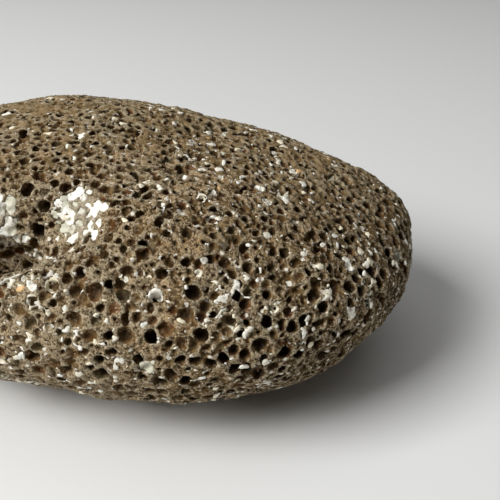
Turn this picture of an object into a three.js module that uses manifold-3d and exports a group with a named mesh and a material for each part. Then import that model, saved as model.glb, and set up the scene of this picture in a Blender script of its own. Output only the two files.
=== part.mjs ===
// A lava cobble: a hand-sized piece of vesicular basalt, rounded by water and lying on its broad side.
// It is one solid stone. The fuller flank faces -Y, the nose points along +X, and a worn flat under it
// is what it rests on. A rounded shoulder runs along the front of its level top, and a hollow is scooped
// in the shoulder, with a pit under the hollow's front lip.
import * as THREE from "three";
import { mergeVertices } from "three/addons/utils/BufferGeometryUtils.js";
import Module from "manifold-3d";

// Driving dimensions, in millimetres.
const HALF_LENGTH = 68;
const FRONT_HALF_WIDTH = 48.8;
const BACK_HALF_WIDTH = 40;
const CROWN_HEIGHT = 29.2; // above the widest level
const KEEL_DEPTH = 31.5; // below the widest level, before the flat is worn
const REST_DEPTH = 29; // below the widest level, to the worn flat

// How the sections change from the middle of the stone to its nose, as shares of the middle's size.
const NOSE_BACK_TAPER = 0.21;
const NOSE_FRONT_TAPER = -0.1; // the front flank fills out towards the nose
const NOSE_CROWN_TAPER = 0.23;
const NOSE_KEEL_TAPER = -0.12;
const NOSE_STARTS = -0.3; // as a share of the half length

// Exponents of the superellipses: 2 is an ellipse, and a larger one is squarer.
const PLAN_ROUNDNESS = 2.25;
const SECTION_ROUNDNESS = 2.0;

const SKIN_DETAIL = 20; // each icosahedron edge is split into this many and one more

// Faces ground flatter than the rest: [azimuth from +X, height above level, depth worn off].
const WORN_FACES = [
  [-90, 78, 0.9],
  [72, 60, 1.8],
  [50, 58, 0.9],
  [150, 22, 2.4],
  [192, -8, 2.2],
  [250, -32, 1.8],
  [-48, -28, 1.5],
  [28, -28, 2.2],
  [95, -20, 1.8],
];
const FACE_STARTS = 2; // in from the outermost point, for each millimetre worn off
const FACE_SHARE = 0.8; // of what stands out beyond that is ground off
const FACE_EDGE_SOFTNESS = 4;

// Slow swells left all over the stone.
const SWELL_HEIGHT = 0.3;
const SWELL_LENGTHS = [47, 36, 28];

// The shoulder: a rounded ridge between the level top and the steep front.
const SHOULDER_MIDDLE = new THREE.Vector3(24, -32, 18);
const SHOULDER_LEAN = THREE.MathUtils.degToRad(38); // forwards from straight up
const SHOULDER_HALF_LENGTH = 36;
const SHOULDER_HALF_WIDTH = 18;
const SHOULDER_HEIGHT = 3.3;

// The hollow: the middle of its mouth on the shoulder, and how the mouth leans and turns.
const HOLLOW_MIDDLE = new THREE.Vector3(-14, -36, 17.8);
const HOLLOW_LEAN = THREE.MathUtils.degToRad(34); // forwards from level
const HOLLOW_TURN = THREE.MathUtils.degToRad(15); // its right end sits further up the shoulder
const HOLLOW_HALF_LENGTH = 25;
const HOLLOW_DEPTH = 8.5;
const HOLLOW_DEEPEST = -3.2; // across the mouth from its middle, towards the front lip
const HOLLOW_FRONT_REACH = 6; // from the deepest line to the front lip
const HOLLOW_BACK_REACH = 14.5; // from the deepest line to the back edge

// The pit under the front lip of the hollow, an egg-shaped bite.
const PIT_HALF_SIZES = new THREE.Vector3(11, 6, 8);
const PIT_ALONG = -5;
const PIT_ACROSS = -4;
const PIT_SINK = 8;
const PIT_TILT = THREE.MathUtils.degToRad(-24);
const PIT_DETAIL = 5;

const BASALT_COLOUR = 0x7a6a54;

// 1 in the middle, falling smoothly to 0 at a distance of one either side.
function hump(distance) {
  return Math.abs(distance) < 1 ? (1 - distance ** 2) ** 2 : 0;
}

function weldedBall(detail) {
  const ball = new THREE.IcosahedronGeometry(1, detail);
  ball.deleteAttribute("normal");
  ball.deleteAttribute("uv");
  return mergeVertices(ball, 1e-5);
}

// Turns a direction into a point on the rounded body of the stone.
function bodyPoint(direction) {
  const { x, y, z } = direction;
  const plan = (Math.abs(x) ** PLAN_ROUNDNESS + Math.abs(y) ** PLAN_ROUNDNESS) ** (1 / PLAN_ROUNDNESS);
  const reach = (plan ** SECTION_ROUNDNESS + Math.abs(z) ** SECTION_ROUNDNESS) ** (-1 / SECTION_ROUNDNESS);
  const unit = direction.clone().multiplyScalar(reach);
  const nose = THREE.MathUtils.smoothstep(unit.x, NOSE_STARTS, 1);
  const width =
    unit.y < 0
      ? FRONT_HALF_WIDTH * (1 - NOSE_FRONT_TAPER * nose)
      : BACK_HALF_WIDTH * (1 - NOSE_BACK_TAPER * nose);
  const height =
    unit.z > 0 ? CROWN_HEIGHT * (1 - NOSE_CROWN_TAPER * nose) : KEEL_DEPTH * (1 - NOSE_KEEL_TAPER * nose);
  return new THREE.Vector3(unit.x * HALF_LENGTH, unit.y * width, unit.z * height);
}

// Grinds one face flatter, with an edge that blends into the stone round it.
function wearFace(points, [azimuth, elevation, depth]) {
  const facing = new THREE.Vector3().setFromSphericalCoords(
    1,
    THREE.MathUtils.degToRad(90 - elevation),
    THREE.MathUtils.degToRad(azimuth),
  );
  const normal = new THREE.Vector3(facing.z, facing.x, facing.y);
  const limit = Math.max(...points.map((point) => point.dot(normal))) - depth * FACE_STARTS;
  for (const point of points) {
    const excess = Math.max(point.dot(normal) - limit, 0);
    point.addScaledVector(normal, (-FACE_SHARE * excess ** 2) / (excess + FACE_EDGE_SOFTNESS));
  }
}

// How far the slow swells lift the skin at a point.
function swellAt(point) {
  const [long, middle, short] = SWELL_LENGTHS.map((length) => (2 * Math.PI) / length);
  return (
    SWELL_HEIGHT *
    (Math.sin(point.x * long + 0.6) * Math.cos(point.y * middle) +
      0.8 * Math.sin(point.y * long - point.z * middle + 1.9) +
      0.6 * Math.cos(point.z * short + point.x * short * 0.7))
  );
}

// Builds the shoulder up at a point near its ridge.
function raiseShoulder(point) {
  const up = new THREE.Vector3(0, -Math.sin(SHOULDER_LEAN), Math.cos(SHOULDER_LEAN));
  const offset = point.clone().sub(SHOULDER_MIDDLE);
  const side = new THREE.Vector3(0, up.z, -up.y);
  const share = hump(offset.x / SHOULDER_HALF_LENGTH) * hump(offset.dot(side) / SHOULDER_HALF_WIDTH);
  if (offset.dot(up) > -SHOULDER_HALF_WIDTH) point.addScaledVector(up, SHOULDER_HEIGHT * share);
}

// The hollow's own directions: along it, across its mouth, and out of it.
const out = new THREE.Vector3(0, -Math.sin(HOLLOW_LEAN), Math.cos(HOLLOW_LEAN));
const along = new THREE.Vector3(1, 0, 0).applyAxisAngle(out, HOLLOW_TURN);
const across = new THREE.Vector3().crossVectors(out, along);

// Sinks a point that lies in the mouth of the hollow.
function scoopHollow(point) {
  const offset = point.clone().sub(HOLLOW_MIDDLE);
  if (offset.dot(out) < -HOLLOW_DEPTH) return;
  const fromDeepest = offset.dot(across) - HOLLOW_DEEPEST;
  const reach = fromDeepest < 0 ? HOLLOW_FRONT_REACH : HOLLOW_BACK_REACH;
  const depth = HOLLOW_DEPTH * hump(offset.dot(along) / HOLLOW_HALF_LENGTH) * hump(fromDeepest / reach);
  point.addScaledVector(out, -depth);
}

// The stone's skin as a welded, indexed geometry.
function stoneSkin() {
  const skin = weldedBall(SKIN_DETAIL);
  const position = skin.getAttribute("position");
  const directions = [];
  for (let i = 0; i < position.count; i++) {
    directions.push(new THREE.Vector3().fromBufferAttribute(position, i).normalize());
  }
  const points = directions.map(bodyPoint);
  WORN_FACES.forEach((face) => wearFace(points, face));
  points.forEach((point, i) => {
    point.addScaledVector(directions[i], swellAt(point));
    raiseShoulder(point);
    scoopHollow(point);
    position.setXYZ(i, point.x, point.y, point.z);
  });
  return skin;
}

function pitTool() {
  const tool = weldedBall(PIT_DETAIL);
  tool.scale(PIT_HALF_SIZES.x, PIT_HALF_SIZES.y, PIT_HALF_SIZES.z);
  tool.rotateX(PIT_TILT);
  tool.applyMatrix4(new THREE.Matrix4().makeBasis(along, across, out));
  const middle = HOLLOW_MIDDLE.clone()
    .addScaledVector(along, PIT_ALONG)
    .addScaledVector(across, PIT_ACROSS)
    .addScaledVector(out, -PIT_SINK);
  tool.translate(middle.x, middle.y, middle.z);
  return tool;
}

const wasm = await Module();
wasm.setup();

function toSolid(geometry) {
  return new wasm.Manifold(
    new wasm.Mesh({
      numProp: 3,
      vertProperties: geometry.getAttribute("position").array,
      triVerts: new Uint32Array(geometry.index.array),
    }),
  );
}

function toGeometry(solid) {
  const mesh = solid.getMesh();
  const geometry = new THREE.BufferGeometry();
  geometry.setAttribute("position", new THREE.BufferAttribute(mesh.vertProperties, 3));
  geometry.setIndex(new THREE.BufferAttribute(mesh.triVerts, 1));
  return geometry;
}

const wholeStone = toSolid(stoneSkin()).trimByPlane([0, 0, 1], -REST_DEPTH);
const stone = toGeometry(wholeStone.subtract(toSolid(pitTool())));
stone.computeBoundingBox();
const box = stone.boundingBox;
stone.translate(-(box.min.x + box.max.x) / 2, -(box.min.y + box.max.y) / 2, -box.min.z);
stone.computeVertexNormals();

const basalt = new THREE.MeshStandardMaterial({ color: BASALT_COLOUR, roughness: 0.95, metalness: 0 });
const rock = new THREE.Mesh(stone, basalt);
rock.name = "rock";

const part = new THREE.Group();
part.add(rock);

export default part;
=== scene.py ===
"""A lava cobble: vesicular basalt, rounded by water, with a white mineral in some of its bubbles."""

import math

import bpy
import numpy as np
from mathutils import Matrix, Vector
from mathutils.bvhtree import BVHTree


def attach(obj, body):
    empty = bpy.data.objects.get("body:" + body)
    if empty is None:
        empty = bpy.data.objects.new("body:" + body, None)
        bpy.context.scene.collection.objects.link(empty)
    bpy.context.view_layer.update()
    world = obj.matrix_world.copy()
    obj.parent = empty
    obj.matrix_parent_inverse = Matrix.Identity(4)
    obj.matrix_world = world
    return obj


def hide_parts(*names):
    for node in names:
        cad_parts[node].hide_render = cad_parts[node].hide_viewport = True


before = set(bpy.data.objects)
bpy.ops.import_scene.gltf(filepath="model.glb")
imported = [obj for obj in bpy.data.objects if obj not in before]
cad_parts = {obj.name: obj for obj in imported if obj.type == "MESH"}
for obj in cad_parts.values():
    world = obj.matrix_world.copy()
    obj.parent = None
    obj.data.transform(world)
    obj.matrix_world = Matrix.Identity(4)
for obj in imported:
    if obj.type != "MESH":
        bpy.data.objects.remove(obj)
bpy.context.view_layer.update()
chance = np.random.default_rng(20)

# ---- The body of the stone -----------------------------------------------------------------------
# One lump of basalt that set round its own gas bubbles. Water has ground it to an egg, with a
# hollow in one shoulder. Its outer form is worked here as a field of depths below the skin, in
# millimetres, so that thousands of bubbles can be opened in it.
FINE = 0.31  # spacing of the grid that the stone is worked on
COARSE = 1.5  # spacing of the grid that its outer form is measured on
MARGIN = 3.0  # empty grid left round the stone
FAR = 9.0  # no distance is worked out further than this
ASIDE = (0.0007, 0.0011)  # shift of the lines that feel for the skin, so that they meet no edge
UNEVENNESS = [(9.0, 0.3), (4.0, 0.14), (1.7, 0.1), (0.9, 0.1)]  # [size, height] of what wear left

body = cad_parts["rock"].data
body_points = np.empty(len(body.vertices) * 3)
body.vertices.foreach_get("co", body_points)
body_points = body_points.reshape(-1, 3) * 1000
body.calc_loop_triangles()
body_faces = np.empty(len(body.loop_triangles) * 3, np.int32)
body.loop_triangles.foreach_get("vertices", body_faces)
body_faces = body_faces.reshape(-1, 3)

corner = body_points.min(0) - MARGIN
span = np.ptp(body_points, axis=0) + 2 * MARGIN
coarse_size = np.ceil(span / COARSE).astype(int) + 2
size = np.ceil(span / FINE).astype(int) + 1


def depths_below_skin():
    """Depth below the skin at each point of the coarse grid, negative outside the stone."""
    skin = BVHTree.FromPolygons(body_points.tolist(), body_faces.tolist())
    depths = np.empty(coarse_size, np.float32)
    heights = corner[2] + COARSE * np.arange(coarse_size[2])
    for i in range(coarse_size[0]):
        for j in range(coarse_size[1]):
            x, y = corner[0] + COARSE * i, corner[1] + COARSE * j
            crossings = []
            start = Vector((x + ASIDE[0], y + ASIDE[1], corner[2] - 1))
            while (hit := skin.ray_cast(start, Vector((0, 0, 1)))[0]) is not None:
                crossings.append(hit.z)
                start.z = hit.z + 1e-3
            within = np.searchsorted(crossings, heights) % 2 == 1
            for k, z in enumerate(heights):
                found = skin.find_nearest((x, y, z), FAR)
                distance = FAR if found[0] is None else found[3]
                depths[i, j, k] = distance if within[k] else -distance
    return depths


def enlarge(lattice, pitch):
    """Spreads a lattice of values over the fine grid, by a smooth curve through them."""
    for axis in (2, 1, 0):
        place = np.arange(size[axis]) * FINE / pitch + 1
        low = np.floor(place).astype(int)
        t = (place - low).astype(np.float32)
        shares = [
            (-t + 2 * t**2 - t**3) / 2,
            (2 - 5 * t**2 + 3 * t**3) / 2,
            (t + 4 * t**2 - 3 * t**3) / 2,
            (t**3 - t**2) / 2,
        ]
        across = [1, 1, 1]
        across[axis] = -1
        spread = 0
        for step, share in enumerate(shares):
            near = np.clip(low + step - 1, 0, lattice.shape[axis] - 1)
            spread = spread + np.take(lattice, near, axis) * share.reshape(across)
        lattice = spread
    return lattice


def roughness(pitch):
    """Smooth random hills over the fine grid, about one high."""
    counts = np.ceil(span / pitch).astype(int) + 4
    return enlarge(chance.standard_normal(counts).astype(np.float32), pitch)


depth = enlarge(np.pad(depths_below_skin(), 1, mode="edge"), COARSE)
for pitch, height in UNEVENNESS:
    depth += height * roughness(pitch)
above_floor = (corner[2] + FINE * np.arange(size[2])).astype(np.float32)
depth = np.minimum(depth, above_floor)  # the worn flat stays flat

# ---- The bubbles ---------------------------------------------------------------------------------
# Gas bubbles, opened where the skin was worn down to them: big deep ones on the flanks, smaller
# ones on the crown, some only shallow dishes. A smaller bubble often opens in the wall of a big
# one. In a few patches they stand wall to wall, and there a white mineral has filled them.
BUBBLE_SIZES = [  # [radius from, to, how many for each square mm of skin, size on the crown]
    (0.8, 1.55, 0.25, 0.74),
    (0.42, 0.8, 0.5, 1.0),
    (0.24, 0.42, 0.9, 1.0),
]
MORE_SMALL = 1.15  # more than 1 makes small bubbles commoner than big ones
NEARNESS = 0.58  # how near two bubbles come, as a share of the smaller one's radius
SINK = (0.0, 0.7)  # how far their middles lie below the skin, as a share of the radius
DISH_SINK = (-0.5, 0.0)  # the same for the shallow dishes
SQUEEZE = 0.5  # the most a bubble is drawn out, where 0 is a ball
DISHES = 0.16  # share of the bubbles that are shallow dishes
CROWN_LEAN = (0.45, 0.85)  # how far the skin faces up where the crown starts, and where it is whole
CROWN_END = (70.0, 44.0)  # the same two along the stone
CROWN_SINK = 0.15  # how much deeper the middles lie on the crown
GAS_SPREAD = 13.0  # size of the parts that had more gas or less
GAS_SIZE, GAS_NUMBER = 0.06, 0.08  # how much bigger the bubbles are there, and how many more
QUIET_PLACE = ((-8.0, -43.0, 33.0), 24.0)  # [middle, reach] of the side with few deep bubbles
QUIET_LEFT = 0.4  # how much of that is left at the reach
QUIET_DISHES, QUIET_MISSING = 0.5, 0.25  # share of more dishes there, and of bubbles left out
INNER_FROM, INNER_SHARE = 0.8, 0.8  # radius from which another opens inside, and how often
INNER_SIZE = (0.25, 0.55)  # its radius, as a share of the big one's
INNER_DOWN, INNER_SQUEEZE = 0.7, 0.2  # how far it lies towards the deep side, and how squeezed
PATCHES = [  # [middle, reach] of each patch of filled bubbles
    ((-1.0, -26.0, 48.8), 5.0),
    ((-17.5, -24.6, 46.5), 4.0),
    ((-36.1, 34.6, 43.2), 6.0),
]
PATCH_STRAY = (3.5, 1.3)  # [size, height] of how the edge of a patch strays
PATCH_BUBBLES = (0.5, 1.35)
PATCH_SHRINKING = 0.6  # how they get smaller as a patch fills, soonest at first if below 1
PATCH_NEARNESS, PATCH_SINK, PATCH_SQUEEZE = 0.1, 0.3, 0.3
PARTITION, PATCH_PARTITION = 0.36, 0.34  # thickness of the wall left between two bubbles
PARTITION_EDGE = 0.2  # rounding where it meets the skin of a bubble
RIM = 0.09  # rounding of the worn rims
LUMPS = [(1.7, 0.14), (0.8, 0.09)]  # [size, height] of the unevenness of the bubble walls
REACH = 1.6  # how far from a bubble its distance is still worked out
OWN_STONE = 0.5  # how far into the stone round a bubble its number is kept
CELL_CORNERS = [(x, y, z) for x in (0, 1) for y in (0, 1) for z in (0, 1)]


def reading(field, at):
    """The value of a field at each point."""
    place = (at - corner) / FINE
    low = np.clip(np.floor(place).astype(int), 0, size - 2)
    t = (place - low).astype(np.float32)
    value = 0
    for dx, dy, dz in CELL_CORNERS:
        share = abs(1 - dx - t[:, 0]) * abs(1 - dy - t[:, 1]) * abs(1 - dz - t[:, 2])
        value = value + share * field[low[:, 0] + dx, low[:, 1] + dy, low[:, 2] + dz]
    return value


def cell_of(place):
    """The grid point nearest to each place."""
    return tuple(np.clip(np.rint((place - corner) / FINE).astype(int), 0, size - 1).T)


def distances(at, middle):
    """How far each point is from a place."""
    return np.linalg.norm(at - middle, axis=1)


def fading(at, middle, reach, left):
    """Falls straight from 1 + left at a place to what is left at its reach, and on below 0."""
    return 1 + left - distances(at, middle) / reach


def rising(value, start, end):
    """0 up to the start and 1 from the end on, straight between."""
    return np.clip((value - start) / (end - start), 0, 1)


def random_direction():
    way = chance.standard_normal(3)
    return way / np.linalg.norm(way)


triangles = body_points[body_faces]
facings = np.cross(triangles[:, 1] - triangles[:, 0], triangles[:, 2] - triangles[:, 0])
areas = np.linalg.norm(facings, axis=1) / 2
outward = facings / (2 * areas[:, None] + 1e-12)


def spots_on_skin(count):
    """Random places on the worn skin, with the way out of the stone at each."""
    which = chance.choice(len(areas), count, p=areas / areas.sum())
    u, v = chance.random((2, count, 1))
    u, v = np.where(u + v > 1, 1 - u, u), np.where(u + v > 1, 1 - v, v)
    a, b, c = np.moveaxis(triangles[which], 1, 0)
    spots, ways = a + u * (b - a) + v * (c - a), outward[which]
    for _ in range(2):
        spots = spots + ways * reading(depth, spots)[:, None]
    return spots, ways


air = np.full(size, FAR, np.float32)  # distance to the nearest bubble
second = np.full(size, FAR, np.float32)  # and to the next nearest one
owner = np.zeros(size, np.int32)  # the number of the nearest one
bubbles = []  # [middle, radius, way out, in a patch]


def block_round(middle, reach):
    """The part of the grid round a place, and how far its points are from it along X, Y and Z."""
    low = np.clip(np.floor((middle - corner - reach) / FINE).astype(int), 0, size - 1)
    high = np.clip(np.ceil((middle - corner + reach) / FINE).astype(int), 0, size - 1)
    block = tuple(slice(a, b + 1) for a, b in zip(low, high))
    x, y, z = (
        (np.arange(low[n], high[n] + 1) * FINE + corner[n] - middle[n]).astype(np.float32)
        for n in range(3)
    )
    return block, x[:, None, None], y[None, :, None], z[None, None, :]


def open_bubble(middle, radius, stretch, squeeze, out, in_patch=False, joined=False):
    """Hollows one bubble out of the stone, a ball stretched along one direction."""
    block, x, y, z = block_round(middle, radius / math.sqrt(1 - squeeze) + REACH)
    along = x * stretch[0] + y * stretch[1] + z * stretch[2]
    distance = np.sqrt(x * x + y * y + z * z - squeeze * along * along) - radius
    nearest = air[block]
    if not joined:
        second[block] = np.minimum(second[block], np.maximum(distance, nearest))
    nearer = distance < nearest
    air[block] = np.where(nearer, distance, nearest)
    owner[block] = np.where(nearer & (distance < OWN_STONE), len(bubbles), owner[block])
    bubbles.append((middle, radius, out, in_patch))


# Number 0 is a speck outside the stone. It owns the sound stone, which is near no bubble.
open_bubble(corner + 1.0, 0.01, (1, 0, 0), 0, np.array([0, 0, 1.0]))

spots, ways = spots_on_skin(300_000)
straying = PATCH_STRAY[1] * roughness(PATCH_STRAY[0])
smallest, largest = PATCH_BUBBLES
for middle, reach in PATCHES:
    for k in np.flatnonzero(distances(spots, middle) + straying[cell_of(spots)] < reach):
        radius = largest - (largest - smallest) * (k / len(spots)) ** PATCH_SHRINKING
        if air[cell_of(spots[k])] > radius * PATCH_NEARNESS:
            sunk = spots[k] - ways[k] * radius * PATCH_SINK
            direction = random_direction()
            open_bubble(sunk, radius, direction, PATCH_SQUEEZE, ways[k], in_patch=True)

gas = roughness(GAS_SPREAD)
for smallest, largest, number, crown_size in BUBBLE_SIZES:
    count = int(areas.sum() * number)
    spots, ways = spots_on_skin(count)
    gassy = gas[cell_of(spots)]
    crown = rising(ways[:, 2], *CROWN_LEAN) * rising(spots[:, 0], *CROWN_END)
    quiet = np.clip(fading(spots, *QUIET_PLACE, QUIET_LEFT), 0, 1)
    radii = smallest + (largest - smallest) * chance.random(count) ** MORE_SMALL
    radii *= (1 - (1 - crown_size) * crown) * (1 + GAS_SIZE * gassy)
    dishes = (DISHES + GAS_NUMBER * gassy + QUIET_DISHES * quiet) * (1 - crown)
    shallow = chance.random(count) < dishes
    dish_sinks, sinks = chance.uniform(*DISH_SINK, count), chance.uniform(*SINK, count)
    sinks = np.where(shallow, dish_sinks, sinks) + CROWN_SINK * crown
    skipped = chance.random(count) < QUIET_MISSING * quiet - GAS_NUMBER * gassy
    squeezes = chance.uniform(0, SQUEEZE, count)
    for k in np.argsort(-radii):
        middle = spots[k] - ways[k] * sinks[k] * radii[k]
        direction = random_direction()
        if skipped[k] or air[cell_of(spots[k])] < radii[k] * NEARNESS:
            continue
        open_bubble(middle, radii[k], direction, squeezes[k], ways[k])
        if radii[k] > INNER_FROM and not shallow[k] and chance.random() < INNER_SHARE:
            side = random_direction() - INNER_DOWN * ways[k]
            inner = middle + side / np.linalg.norm(side) * radii[k]
            inner_radius = radii[k] * chance.uniform(*INNER_SIZE)
            open_bubble(inner, inner_radius, direction, INNER_SQUEEZE, ways[k], joined=True)


def blend_max(a, b, width):
    """The larger of two fields, rounded where they cross."""
    share = np.clip(0.5 + 0.5 * (a - b) / width, 0, 1)
    return b + (a - b) * share + width * share * (1 - share)


middles, radii, outs, in_patch = (np.array(column) for column in zip(*bubbles))
apart = np.where(in_patch[owner], PATCH_PARTITION, PARTITION).astype(np.float32)
hollow = blend_max(air, (apart - second + air) / 2, PARTITION_EDGE)
del second, air, apart
for pitch, height in LUMPS:
    hollow += height * roughness(pitch)
skin_field = blend_max(-depth, -hollow, RIM)

# The skin is where that field is zero. It becomes a mesh with one corner in each cell of the grid
# that it crosses, and one face round each grid line that it crosses.
SKIN_TRIANGLES = 780_000


def shell_of(field):
    """Corners and four-sided faces of the surface where a field crosses zero."""
    solid = field < 0
    filled = np.zeros(np.array(field.shape) - 1, np.uint8)
    nx, ny, nz = filled.shape
    for dx, dy, dz in CELL_CORNERS:
        filled += solid[dx : dx + nx, dy : dy + ny, dz : dz + nz]
    crossed = (filled > 0) & (filled < 8)
    cells = np.argwhere(crossed)
    number = np.full(crossed.shape, -1, np.int32)
    number[crossed] = np.arange(len(cells), dtype=np.int32)
    values = {step: field[tuple((cells + step).T)] for step in CELL_CORNERS}
    total = np.zeros((len(cells), 3), np.float32)
    hits = np.zeros(len(cells), np.float32)
    for start, first in values.items():
        for axis in range(3):
            if start[axis]:
                continue
            last = values[tuple(s + (a == axis) for a, s in enumerate(start))]
            cut = (first < 0) != (last < 0)
            t = np.where(cut, first / np.where(cut, first - last, 1), 0)
            for a in range(3):
                total[:, a] += np.where(cut, start[a] + (t if a == axis else 0), 0)
            hits += cut
    points = (cells + total / hits[:, None]) * FINE + corner
    faces = []
    for axis in range(3):
        near = [slice(1, -1)] * 3
        far = [slice(1, -1)] * 3
        near[axis], far[axis] = slice(0, -1), slice(1, None)
        one, other = solid[tuple(near)], solid[tuple(far)]
        offset = np.array([0 if a == axis else 1 for a in range(3)])
        u, v = (np.eye(3, dtype=int)[(axis + n) % 3] for n in (1, 2))
        for edge, turn in ((one & ~other, 1), (~one & other, -1)):
            at = np.argwhere(edge) + offset
            ring = [at - u - v, at - v, at, at - u][::turn]
            faces.append(np.stack([number[tuple(cell.T)] for cell in ring], 1))
    return points, np.vstack(faces)


def shells_in(points, faces):
    """Numbers the joined shells, one number for each corner."""
    label = np.arange(len(points))
    sides = np.vstack([faces[:, [n, n + 1]] for n in range(faces.shape[1] - 1)])
    while True:
        lower = np.minimum(label[sides[:, 0]], label[sides[:, 1]])
        before = label.copy()
        np.minimum.at(label, sides[:, 0], lower)
        np.minimum.at(label, sides[:, 1], lower)
        label = label[label]
        if (label == before).all():
            return label


def keep_shells(points, faces, kept):
    """Keeps the shells whose corners are marked."""
    renumber = np.cumsum(kept) - 1
    return points[kept], renumber[faces[kept[faces[:, 0]]]]


def mesh_of(name, points, faces):
    """A mesh in metres from points in millimetres."""
    mesh = bpy.data.meshes.new(name)
    mesh.vertices.add(len(points))
    mesh.vertices.foreach_set("co", (points / 1000).astype(np.float32).ravel())
    sides = faces.shape[1]
    mesh.loops.add(len(faces) * sides)
    mesh.loops.foreach_set("vertex_index", faces.astype(np.int32).ravel())
    mesh.polygons.add(len(faces))
    starts = np.arange(0, len(faces) * sides, sides, dtype=np.int32)
    mesh.polygons.foreach_set("loop_start", starts)
    mesh.update(calc_edges=True)
    return mesh


def put_in_scene(name, data):
    """Adds a mesh, a lamp or a camera to the scene."""
    made = bpy.data.objects.new(name, data)
    bpy.context.scene.collection.objects.link(made)
    return made


def thinned(points, faces, most):
    """Corners, triangles and corner normals of a shell with fewer triangles where it is smooth."""
    whole = put_in_scene("whole", mesh_of("whole", points, faces))
    thinning = whole.modifiers.new("thin", "DECIMATE")
    thinning.ratio = min(1, most / (2 * len(faces)))
    thinning.use_collapse_triangulate = True
    thin = whole.evaluated_get(bpy.context.evaluated_depsgraph_get()).to_mesh()
    points = np.empty(len(thin.vertices) * 3, np.float32)
    thin.vertices.foreach_get("co", points)
    thin.calc_loop_triangles()
    faces = np.empty(len(thin.loop_triangles) * 3, np.int32)
    thin.loop_triangles.foreach_get("vertices", faces)
    normals = np.empty(len(thin.vertices) * 3, np.float32)
    thin.vertex_normals.foreach_get("vector", normals)
    bpy.data.objects.remove(whole)
    return points.reshape(-1, 3) * 1000, faces.reshape(-1, 3), normals.reshape(-1, 3)


points, faces = shell_of(skin_field)
label = shells_in(points, faces)
points, faces = keep_shells(points, faces, label == np.bincount(label).argmax())
points, faces, normals = thinned(points, faces, SKIN_TRIANGLES)

# The finish needs to know, at each point of the skin, how far below the worn surface it lies, how
# much stone stands round it, which bubble it is in, how pale the stone is there, how far it is
# darkened at the nose and lower right (darker stone and painted shade), and how far its back is
# dulled and painted darker as shade.
PALE_PLACES = [  # [middle, reach, strength] of where the stone is paler
    ((-1.0, -26.0, 48.8), 5.2, 2.0),
    ((-17.5, -24.6, 46.5), 4.0, 1.6),
    ((-36.1, 34.6, 43.2), 6.0, 1.6),
    ((-14.0, -43.0, 33.0), 30.0, 0.9),
    ((30.0, -37.0, 40.0), 8.0, 1.0),
]
PALE_LEFT, PALE_MOST = 0.2, 0.5  # what is left of it at the reach, and what it is held to
DARK_AND_SHADE_PLACES = [  # [middle, reach] of where it is darker: partly darker stone, partly painted shade on the nose and lower right
    ((52.0, -36.0, 12.0), 40.0),
    ((68.0, -14.0, 30.0), 40.0),
]
DARK_AND_SHADE_CORE = 1.3  # more than 1 makes it fully dark some way out from the middle
BACK_DULL_AND_SHADE = (-22.0, 2.0)  # where across the stone the back starts to be dulled and painted darker as shade, and where it is full

shelter = np.clip(0.5 - skin_field / FINE, 0, 1).astype(np.float32)
for step in (1, 1, 2):  # blurred three times, over this many grid points each way
    for axis in range(3):
        shelter = (np.roll(shelter, step, axis) + shelter + np.roll(shelter, -step, axis)) / 3
tints = chance.random(len(bubbles)).astype(np.float32)
pale = np.zeros(len(points))
for middle, reach, strength in PALE_PLACES:
    paleness = np.clip(fading(points, middle, reach, PALE_LEFT), 0, PALE_MOST)
    pale = np.maximum(pale, strength * paleness)
dark_and_shade = np.zeros(len(points))
for middle, reach in DARK_AND_SHADE_PLACES:
    away = distances(points, middle) / reach
    dark_and_shade = np.maximum(dark_and_shade, np.clip(DARK_AND_SHADE_CORE - DARK_AND_SHADE_CORE * away, 0, 1))
skin_facts = {
    "pale": pale,
    "dark_and_shade": dark_and_shade,
    "back_dull_and_shade": rising(points[:, 1], *BACK_DULL_AND_SHADE),
    "depth": reading(depth, points),
    "shelter": reading(shelter, points),
    "tint": tints[owner[cell_of(points)]],
}


class Socket:
    """A value or a colour in a finish, with arithmetic on it."""

    def __init__(self, finish, link):
        self.finish, self.link = finish, link

    def math(self, operation, *values):
        settings, inputs = dict(operation=operation), dict(enumerate(values))
        return self.finish.node("ShaderNodeMath", settings, inputs)[0]

    def __add__(self, other):
        return self.math("ADD", self, other)

    def __sub__(self, other):
        return self.math("SUBTRACT", self, other)

    def __rsub__(self, other):
        return self.math("SUBTRACT", other, self)

    def __mul__(self, other):
        return self.math("MULTIPLY", self, other)

    def __gt__(self, other):
        return self.math("GREATER_THAN", self, other)

    def __lt__(self, other):
        return self.math("LESS_THAN", self, other)

    __radd__, __rmul__ = __add__, __mul__

    def ramp(self, start, end):
        """0 up to the start and 1 from the end on, smooth between."""
        settings = dict(interpolation_type="SMOOTHSTEP")
        inputs = {"Value": self, "From Min": start, "From Max": end}
        return self.finish.node("ShaderNodeMapRange", settings, inputs)["Result"]


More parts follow.
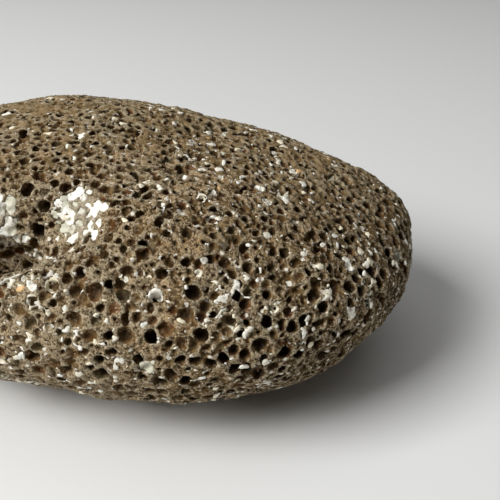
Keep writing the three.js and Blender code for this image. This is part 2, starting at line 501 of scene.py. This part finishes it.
class Finish:
    """The nodes of a material, or of the sky."""

    def __init__(self, holder, shader="Principled BSDF"):
        holder.use_nodes = True
        self.tree = holder.node_tree
        self.shader = self.tree.nodes[shader]

    def feed(self, socket, value):
        """Links a value that varies to a socket, or sets there one that is the same all over."""
        if isinstance(value, Socket):
            self.tree.links.new(value.link, socket)
        else:
            socket.default_value = value

    def set(self, name, value):
        """Gives the shader one of its values."""
        self.feed(self.shader.inputs[name], value)

    def node(self, kind, settings, inputs):
        """Adds a node of any kind, and returns its outputs by name and by number."""
        made = self.tree.nodes.new(kind)
        for name, value in settings.items():
            setattr(made, name, value)
        for name, value in inputs.items():
            self.feed(made.inputs[name], value)
        outputs = {out.name: Socket(self, out) for out in made.outputs if out.enabled}
        outputs.update({n: Socket(self, out) for n, out in enumerate(made.outputs)})
        return outputs

    def mix(self, share, first, second):
        """A colour between two, this share of the way from the first to the second."""
        inputs = {0: share, 6: first, 7: second}
        return self.node("ShaderNodeMix", dict(data_type="RGBA"), inputs)[2]

    def fact(self, name):
        """One of the values kept at each point of the mesh."""
        return self.node("ShaderNodeAttribute", dict(attribute_name=name), {})["Fac"]

    def place(self):
        """Where each point is on the piece."""
        return self.node("ShaderNodeTexCoord", {}, {})["Object"]

    def noise(self, place, millimetres, detail):
        """A cloudy pattern with marks about this many millimetres across."""
        inputs = {"Vector": place, "Scale": 1000 / millimetres, "Detail": detail}
        return self.node("ShaderNodeTexNoise", {}, inputs)["Fac"]

    def grains(self, place, millimetres):
        """Packed grains of this size, as a random number for each."""
        inputs = {"Vector": place, "Scale": 1000 / millimetres}
        colour = self.node("ShaderNodeTexVoronoi", {}, inputs)["Color"]
        return self.node("ShaderNodeSeparateColor", {}, {"Color": colour})["Red"]

    def relief(self, height, strength, distance):
        """Gives the shader bumps that are too fine for the mesh."""
        inputs = {"Height": height, "Strength": strength, "Distance": distance}
        self.set("Normal", self.node("ShaderNodeBump", {}, inputs)["Normal"])


# Worn basalt is a grey-brown paste of pale and dark crystals, and dull. Its crystals show less on
# the back, which is also painted darker as shade, and its rims are paler. The bubble walls are
# smoother and rustier; painted shade turns them black deep down and darkens the most sheltered
# hollows.
BEIGE = (0.45, 0.308, 0.158, 1)
GREY_BROWN = (0.2, 0.133, 0.056, 1)
PALE_GREY = (0.43, 0.36, 0.24, 1)
CHALK = (0.5, 0.44, 0.33, 1)
UMBER_AND_SHADE = (0.094, 0.059, 0.022, 1)
DARK_GRAIN_AND_SHADE = (0.036, 0.019, 0.006, 1)
PALE_GRAIN = (0.6, 0.48, 0.33, 1)
FLECK = (0.88, 0.84, 0.72, 1)
WALL_BROWN = (0.135, 0.072, 0.022, 1)
WALL_GREY = (0.125, 0.096, 0.046, 1)
RUST = (0.15, 0.06, 0.018, 1)
SHADE_BLACK = (0.008, 0.005, 0.003, 1)

basalt = bpy.data.materials.new("basalt")
finish = Finish(basalt)
mix = finish.mix
place = finish.place()
depth_here, shelter_here, tint_here = map(finish.fact, ("depth", "shelter", "tint"))
pale_here, dark_and_shade_here, back_dull_and_shade_here = map(finish.fact, ("pale", "dark_and_shade", "back_dull_and_shade"))
cloud = finish.noise(place, 16, 3)
blotches = finish.noise(place, 3.4, 4)
coarse_grain = finish.noise(place, 1.1, 3)
fine_grain = finish.noise(place, 0.36, 2)
crystal = finish.grains(place, 0.36)
speck = finish.grains(place, 0.62)
fresh = 1 - back_dull_and_shade_here * 0.7
rims = shelter_here.ramp(0.44, 0.3) * coarse_grain.ramp(0.3, 0.55)

# The worn skin.
colour = mix(blotches.ramp(0.36, 0.66), GREY_BROWN, BEIGE)
colour = mix(cloud.ramp(0.5, 0.72) * 0.5, colour, PALE_GREY)
colour = mix(pale_here.ramp(0.0, 0.5) * 0.5, colour, PALE_GREY)
# Painted shade: the back is darkened towards grey-brown.
colour = mix(back_dull_and_shade_here * 0.45, colour, GREY_BROWN)
# Painted shade, partly darker stone: the nose and lower right are darkened towards umber.
colour = mix(dark_and_shade_here * 0.9, colour, UMBER_AND_SHADE)
colour = mix(rims * 0.85, colour, PALE_GREY)
colour = mix(coarse_grain.ramp(0.5, 0.34) * 0.8 * fresh, colour, DARK_GRAIN_AND_SHADE)
colour = mix(fine_grain.ramp(0.48, 0.36) * 0.8 * fresh, colour, DARK_GRAIN_AND_SHADE)
colour = mix((crystal > 0.82) * 0.55 * fresh, colour, PALE_GRAIN)
colour = mix((crystal < 0.13) * 0.6 * fresh, colour, DARK_GRAIN_AND_SHADE)
colour = mix((speck > 0.97) * 0.9 * fresh, colour, FLECK)

# The walls of the bubbles.
inside = mix(tint_here.ramp(0.7, 0.98), WALL_BROWN, RUST)
inside = mix(tint_here.ramp(0.3, 0.1), inside, WALL_GREY)
inside = mix(coarse_grain.ramp(0.45, 0.6) * 0.4, inside, BEIGE)
inside = mix((crystal > 0.92) * 0.6, inside, PALE_GRAIN)
# Painted shade: the walls go black with depth, and sooner at the nose and lower right.
inside = mix((depth_here + dark_and_shade_here * 0.8).ramp(0.9, 2.1) * 0.92, inside, SHADE_BLACK)

# One passes into the other just below the rim.
colour = mix(depth_here.ramp(0.15, 0.6) * 0.95, colour, inside)
colour = mix(pale_here.ramp(0.5, 0.9) * 0.4, colour, CHALK)
# Painted shade: the most sheltered hollows are darkened.
colour = mix(shelter_here.ramp(0.56, 0.7) * 0.5, colour, DARK_GRAIN_AND_SHADE)
glint = depth_here.ramp(0.3, 0.9) * (crystal > 0.7)
finish.set("Base Color", colour)
finish.set("Roughness", 0.9 - glint * 0.55)
finish.set("Specular IOR Level", 0.1)
finish.relief(coarse_grain * 0.5 + fine_grain * 0.5 + crystal * 0.2, 1.0, 0.0006)


def keep_fact(mesh, name, values):
    """Keeps a value at each point of a mesh, for its finish."""
    kept = mesh.attributes.new(name, "FLOAT", "POINT")
    kept.data.foreach_set("value", values.astype(np.float32))


# The skin is kept as four lengths of the stone, end to end, so that no one mesh is too heavy.
LENGTHS = 4
along_stone = points[faces].mean(1)[:, 0]
cuts = np.quantile(along_stone, np.linspace(0, 1, LENGTHS + 1))
for n in range(LENGTHS):
    before_end = (along_stone < cuts[n + 1]) | (n == LENGTHS - 1)
    mine = faces[(along_stone >= cuts[n]) & before_end]
    used, renumbered = np.unique(mine, return_inverse=True)
    mesh = mesh_of(f"stone_{n + 1}", points[used], renumbered.reshape(-1, 3))
    for name, values in skin_facts.items():
        keep_fact(mesh, name, values[used])
    mesh.shade_smooth()
    mesh.normals_split_custom_set_from_vertices(normals[used])
    mesh.materials.append(basalt)
    stone = put_in_scene(f"stone_{n + 1}", mesh)
    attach(stone, "root")
    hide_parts("rock")

# ---- The white mineral ---------------------------------------------------------------------------
# A white mineral grew in some bubbles after the basalt had set. It fills them nearly to the brim or
# lines one side, and flakes of it are bedded in the skin. Water has worn it down with the stone.
FILLED = (0.008, 0.11)  # share of the bubbles filled where it is scarce, and how much more if rich
LINED = (0.02, 0.16)  # the same two for the bubbles lined on one side
PATCH_FILLED = 0.95  # share of those in the patches that are filled
LARGEST_FILLED, SMALLEST_LINED = 0.85, 0.4  # radius
BRIM = (0.0, 0.34)  # how far below the skin a filling ends
PATCH_BRIM = 0.5  # times that in the patches
DISH = 0.6  # how much lower it is in the middle of a bubble, for each mm from the wall
DISH_REACH = 0.8  # mm from the wall where it gets no lower
FILLING_GAP, LINING_GAP = 0.05, 0.08  # left to the wall of the bubble
LINING_SHIFT, LINING_HOLLOW = 0.32, 0.9  # the ball left empty in a lining, in radii of the bubble
LINING_DOWN = 0.5  # how far the lined side is towards the deep side
CLUSTER = 9.0  # size of the parts that have more of it
CLUSTER_BASE, CLUSTER_SPREAD, CLUSTER_POWER = 0.3, 0.4, 1.5  # how rich they are, and how patchily
RICH_PLACES = [  # [middle, reach] of where there is most of it
    ((-2.0, -43.0, 33.0), 17.0),
    ((30.0, -16.0, 49.0), 14.0),
    ((55.0, -20.0, 37.0), 11.0),
    ((28.0, -43.0, 30.0), 9.0),
    ((-40.0, 12.0, 48.0), 16.0),
    ((22.8, 39.3, 30.2), 14.0),
]
RICH_LEFT = 0.25  # how much of that is left at the reach
FLAKES = 10_000  # places where there may be one
FLAKES_ANYWHERE = 0.04  # share of them that have one where the mineral is scarce
FLAKE_LENGTH = (0.4, 1.2)  # half of it, from and to
MORE_SHORT = 2.4  # more than 1 makes short flakes commoner than long ones
FLAKE_WIDTH = (0.4, 0.8)  # as a share of the length
FLAKE_TILT = 0.4  # how far it leans out of the skin, where 0 is flat in it
RAGGED = [(1.3, 0.12), (0.6, 0.17)]  # [size, height] of the unevenness of the lumps
PATCH_RAGGED, FLAKE_RAGGED = 0.25, 0.5  # times that in the patches, and on the flakes
PROUD = 0.04  # the most it stands out of the skin
SMALLEST_LUMP = 10  # corners of the mesh
MINERAL_TRIANGLES = 190_000


def richness(at):
    """How much of the mineral there is round each place, 0 to 1."""
    rich = clusters[cell_of(at)]
    for middle, reach in RICH_PLACES:
        rich = np.maximum(rich, fading(at, middle, reach, RICH_LEFT))
    return np.clip(rich, 0, 1)


clusters = np.clip(CLUSTER_BASE + CLUSTER_SPREAD * roughness(CLUSTER), 0, 1) ** CLUSTER_POWER
rich = richness(middles)
luck = chance.random(len(bubbles))
filled = (luck < FILLED[0] + FILLED[1] * rich) & (radii < LARGEST_FILLED)
filled = np.where(in_patch, luck < PATCH_FILLED, filled)
filled[0] = False
brims = chance.uniform(*BRIM, len(bubbles)) * np.where(in_patch, PATCH_BRIM, 1)
dished = brims.astype(np.float32)[owner] + DISH * np.clip(-hollow, 0, DISH_REACH)
filling = np.maximum(hollow - FILLING_GAP, dished - depth)
lump = np.where(filled[owner], filling, FAR).astype(np.float32)

lined = ~in_patch & ~filled & (radii > SMALLEST_LINED)
lined &= luck > 1 - LINED[0] - LINED[1] * rich
lined[0] = False
for k in np.flatnonzero(lined):
    side = random_direction() - LINING_DOWN * outs[k]
    empty = middles[k] - side * radii[k] * LINING_SHIFT
    block, x, y, z = block_round(empty, radii[k] * 2)
    lining = radii[k] * LINING_HOLLOW - np.sqrt(x * x + y * y + z * z)
    lining = np.maximum(np.maximum(hollow[block] - LINING_GAP, lining), brims[k] - depth[block])
    lump[block] = np.where(owner[block] == k, lining, lump[block])

lump_number = owner.copy()
spots, ways = spots_on_skin(FLAKES)
wanted = chance.random(FLAKES) < FLAKES_ANYWHERE + (1 - FLAKES_ANYWHERE) * richness(spots)
wanted &= hollow[cell_of(spots)] > 0
for k in np.flatnonzero(wanted):
    length = FLAKE_LENGTH[0] + np.ptp(FLAKE_LENGTH) * chance.random() ** MORE_SHORT
    lie = np.cross(ways[k] + FLAKE_TILT * chance.standard_normal(3), random_direction())
    lie /= np.linalg.norm(lie)
    width = length * chance.uniform(*FLAKE_WIDTH)
    block, x, y, z = block_round(spots[k], length + 1)
    along = x * lie[0] + y * lie[1] + z * lie[2]
    beside = x * x + y * y + z * z - along**2
    flake = (np.sqrt(beside / width**2 + along**2 / length**2) - 1) * width
    nearer = flake < lump[block]
    lump[block] = np.where(nearer, flake, lump[block])
    lump_number[block] = np.where(nearer, len(bubbles) + k, lump_number[block])

raggedness = np.append(np.where(in_patch, PATCH_RAGGED, 1), np.full(FLAKES, FLAKE_RAGGED))
raggedness = raggedness.astype(np.float32)
for pitch, height in RAGGED:
    lump += height * roughness(pitch) * raggedness[lump_number]
lump = np.maximum(lump, -PROUD - depth)
lump_points, lump_faces = shell_of(lump)
label = shells_in(lump_points, lump_faces)
big_enough = np.bincount(label)[label] > SMALLEST_LUMP
lump_points, lump_faces = keep_shells(lump_points, lump_faces, big_enough)
lump_points, lump_faces, _ = thinned(lump_points, lump_faces, MINERAL_TRIANGLES)

# Each lump has a tone: most are white, the lowest cloudy or greenish, the higher ones cream, and a
# few flakes are stained orange.
PATCH_TONES = 0.6  # the highest in the patches
FLAKE_TONES = 0.2  # the lowest of the flakes
WHITE = (0.95, 0.925, 0.82, 1)
CREAM = (0.85, 0.75, 0.52, 1)
CLOUDY = (0.56, 0.52, 0.42, 1)
GREENISH = (0.62, 0.61, 0.45, 1)
ORANGE = (0.75, 0.47, 0.2, 1)
DIRT = (0.25, 0.18, 0.1, 1)

tones = chance.random(len(bubbles) + FLAKES)
tones[: len(bubbles)] *= np.where(in_patch, PATCH_TONES, 1)
tones[len(bubbles) :] = FLAKE_TONES + (1 - FLAKE_TONES) * tones[len(bubbles) :]

white_mineral = bpy.data.materials.new("white mineral")
finish = Finish(white_mineral)
mix = finish.mix
place = finish.place()
tone = finish.fact("tone")
stain = finish.noise(place, 0.9, 3)
colour = mix(tone.ramp(0.5, 0.95) * 0.8, WHITE, CREAM)
colour = mix(tone.ramp(0.36, 0.24) * 0.7, colour, CLOUDY)
colour = mix(tone.ramp(0.2, 0.1) * 0.7, colour, GREENISH)
colour = mix(tone.ramp(0.985, 0.99), colour, ORANGE)
colour = mix(stain.ramp(0.56, 0.72) * 0.6, colour, DIRT)
finish.set("Base Color", colour)
finish.set("Roughness", 0.5)
finish.relief(finish.noise(place, 0.4, 2), 0.6, 0.00015)

mesh = mesh_of("mineral", lump_points, lump_faces)
mesh.shade_smooth()
keep_fact(mesh, "tone", tones[lump_number[cell_of(lump_points)]])
mesh.materials.append(white_mineral)
mineral = put_in_scene("mineral", mesh)
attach(mineral, "root")

# ---- The place it is shown in --------------------------------------------------------------------
# A plain pale floor that fades out far from the stone, a wide soft lamp high on the left with a
# weak one overhead, and the stone seen from close by. The sky gives little light but looks pale.
FLOOR_COLOUR = (0.85, 0.85, 0.84, 1)
FLOOR_REACH = 2000.0  # millimetres each way from the middle
FLOOR_FADE = (0.42, 1.0)  # metres from the middle, where it starts to fade and where it is gone
LAMPS = [  # [name, degrees round from +X, height in degrees, width, watts], a metre away
    ("key", 213, 44, 0.5, 10.6),
    ("top", 0, 90, 1.0, 2.2),
]
LAMP_AIM = Vector((0.03, 0, 0.02))
SKY_LIGHT, SKY_PALENESS = 0.06, 0.5  # what it sheds, and how much brighter it looks
CAMERA_PLACE = Vector((0.04106, -0.13778, 0.1158))
CAMERA_AIM = Vector((0.02913, 0.00766, 0.02104))

floor_paint = bpy.data.materials.new("floor")
finish = Finish(floor_paint)
outwards = finish.node("ShaderNodeVectorMath", dict(operation="LENGTH"), {0: finish.place()})
finish.set("Base Color", FLOOR_COLOUR)
finish.set("Roughness", 0.7)
finish.set("Alpha", outwards["Value"].ramp(FLOOR_FADE[1], FLOOR_FADE[0]))
floor_corners = FLOOR_REACH * np.array([[-1, -1, 0], [1, -1, 0], [1, 1, 0], [-1, 1, 0]])
floor_mesh = mesh_of("floor", floor_corners, np.array([[0, 1, 2, 3]]))
floor_mesh.materials.append(floor_paint)
put_in_scene("floor", floor_mesh)

for name, round_from_x, height, width, watts in LAMPS:
    turn, rise = math.radians(round_from_x), math.radians(height)
    way = Vector((math.cos(rise) * math.cos(turn), math.cos(rise) * math.sin(turn), math.sin(rise)))
    light = bpy.data.lights.new(name, "AREA")
    light.energy, light.size = watts, width
    lamp = put_in_scene(name, light)
    lamp.location = LAMP_AIM + way
    lamp.rotation_euler = way.to_track_quat("Z", "Y").to_euler()

sky = bpy.data.worlds.new("sky")
finish = Finish(sky, "Background")
seen = finish.node("ShaderNodeLightPath", {}, {})["Is Camera Ray"]
finish.set("Color", (1, 1, 1, 1))
finish.set("Strength", SKY_LIGHT + seen * SKY_PALENESS)
bpy.context.scene.world = sky
bpy.context.scene.view_settings.view_transform = "Standard"

lens = bpy.data.cameras.new("camera")
lens.lens = 50
lens.sensor_width = 36
lens.clip_start = 0.005
camera = put_in_scene("camera", lens)
camera.location = CAMERA_PLACE
camera.rotation_euler = (CAMERA_PLACE - CAMERA_AIM).to_track_quat("Z", "Y").to_euler()
bpy.context.scene.camera = camera
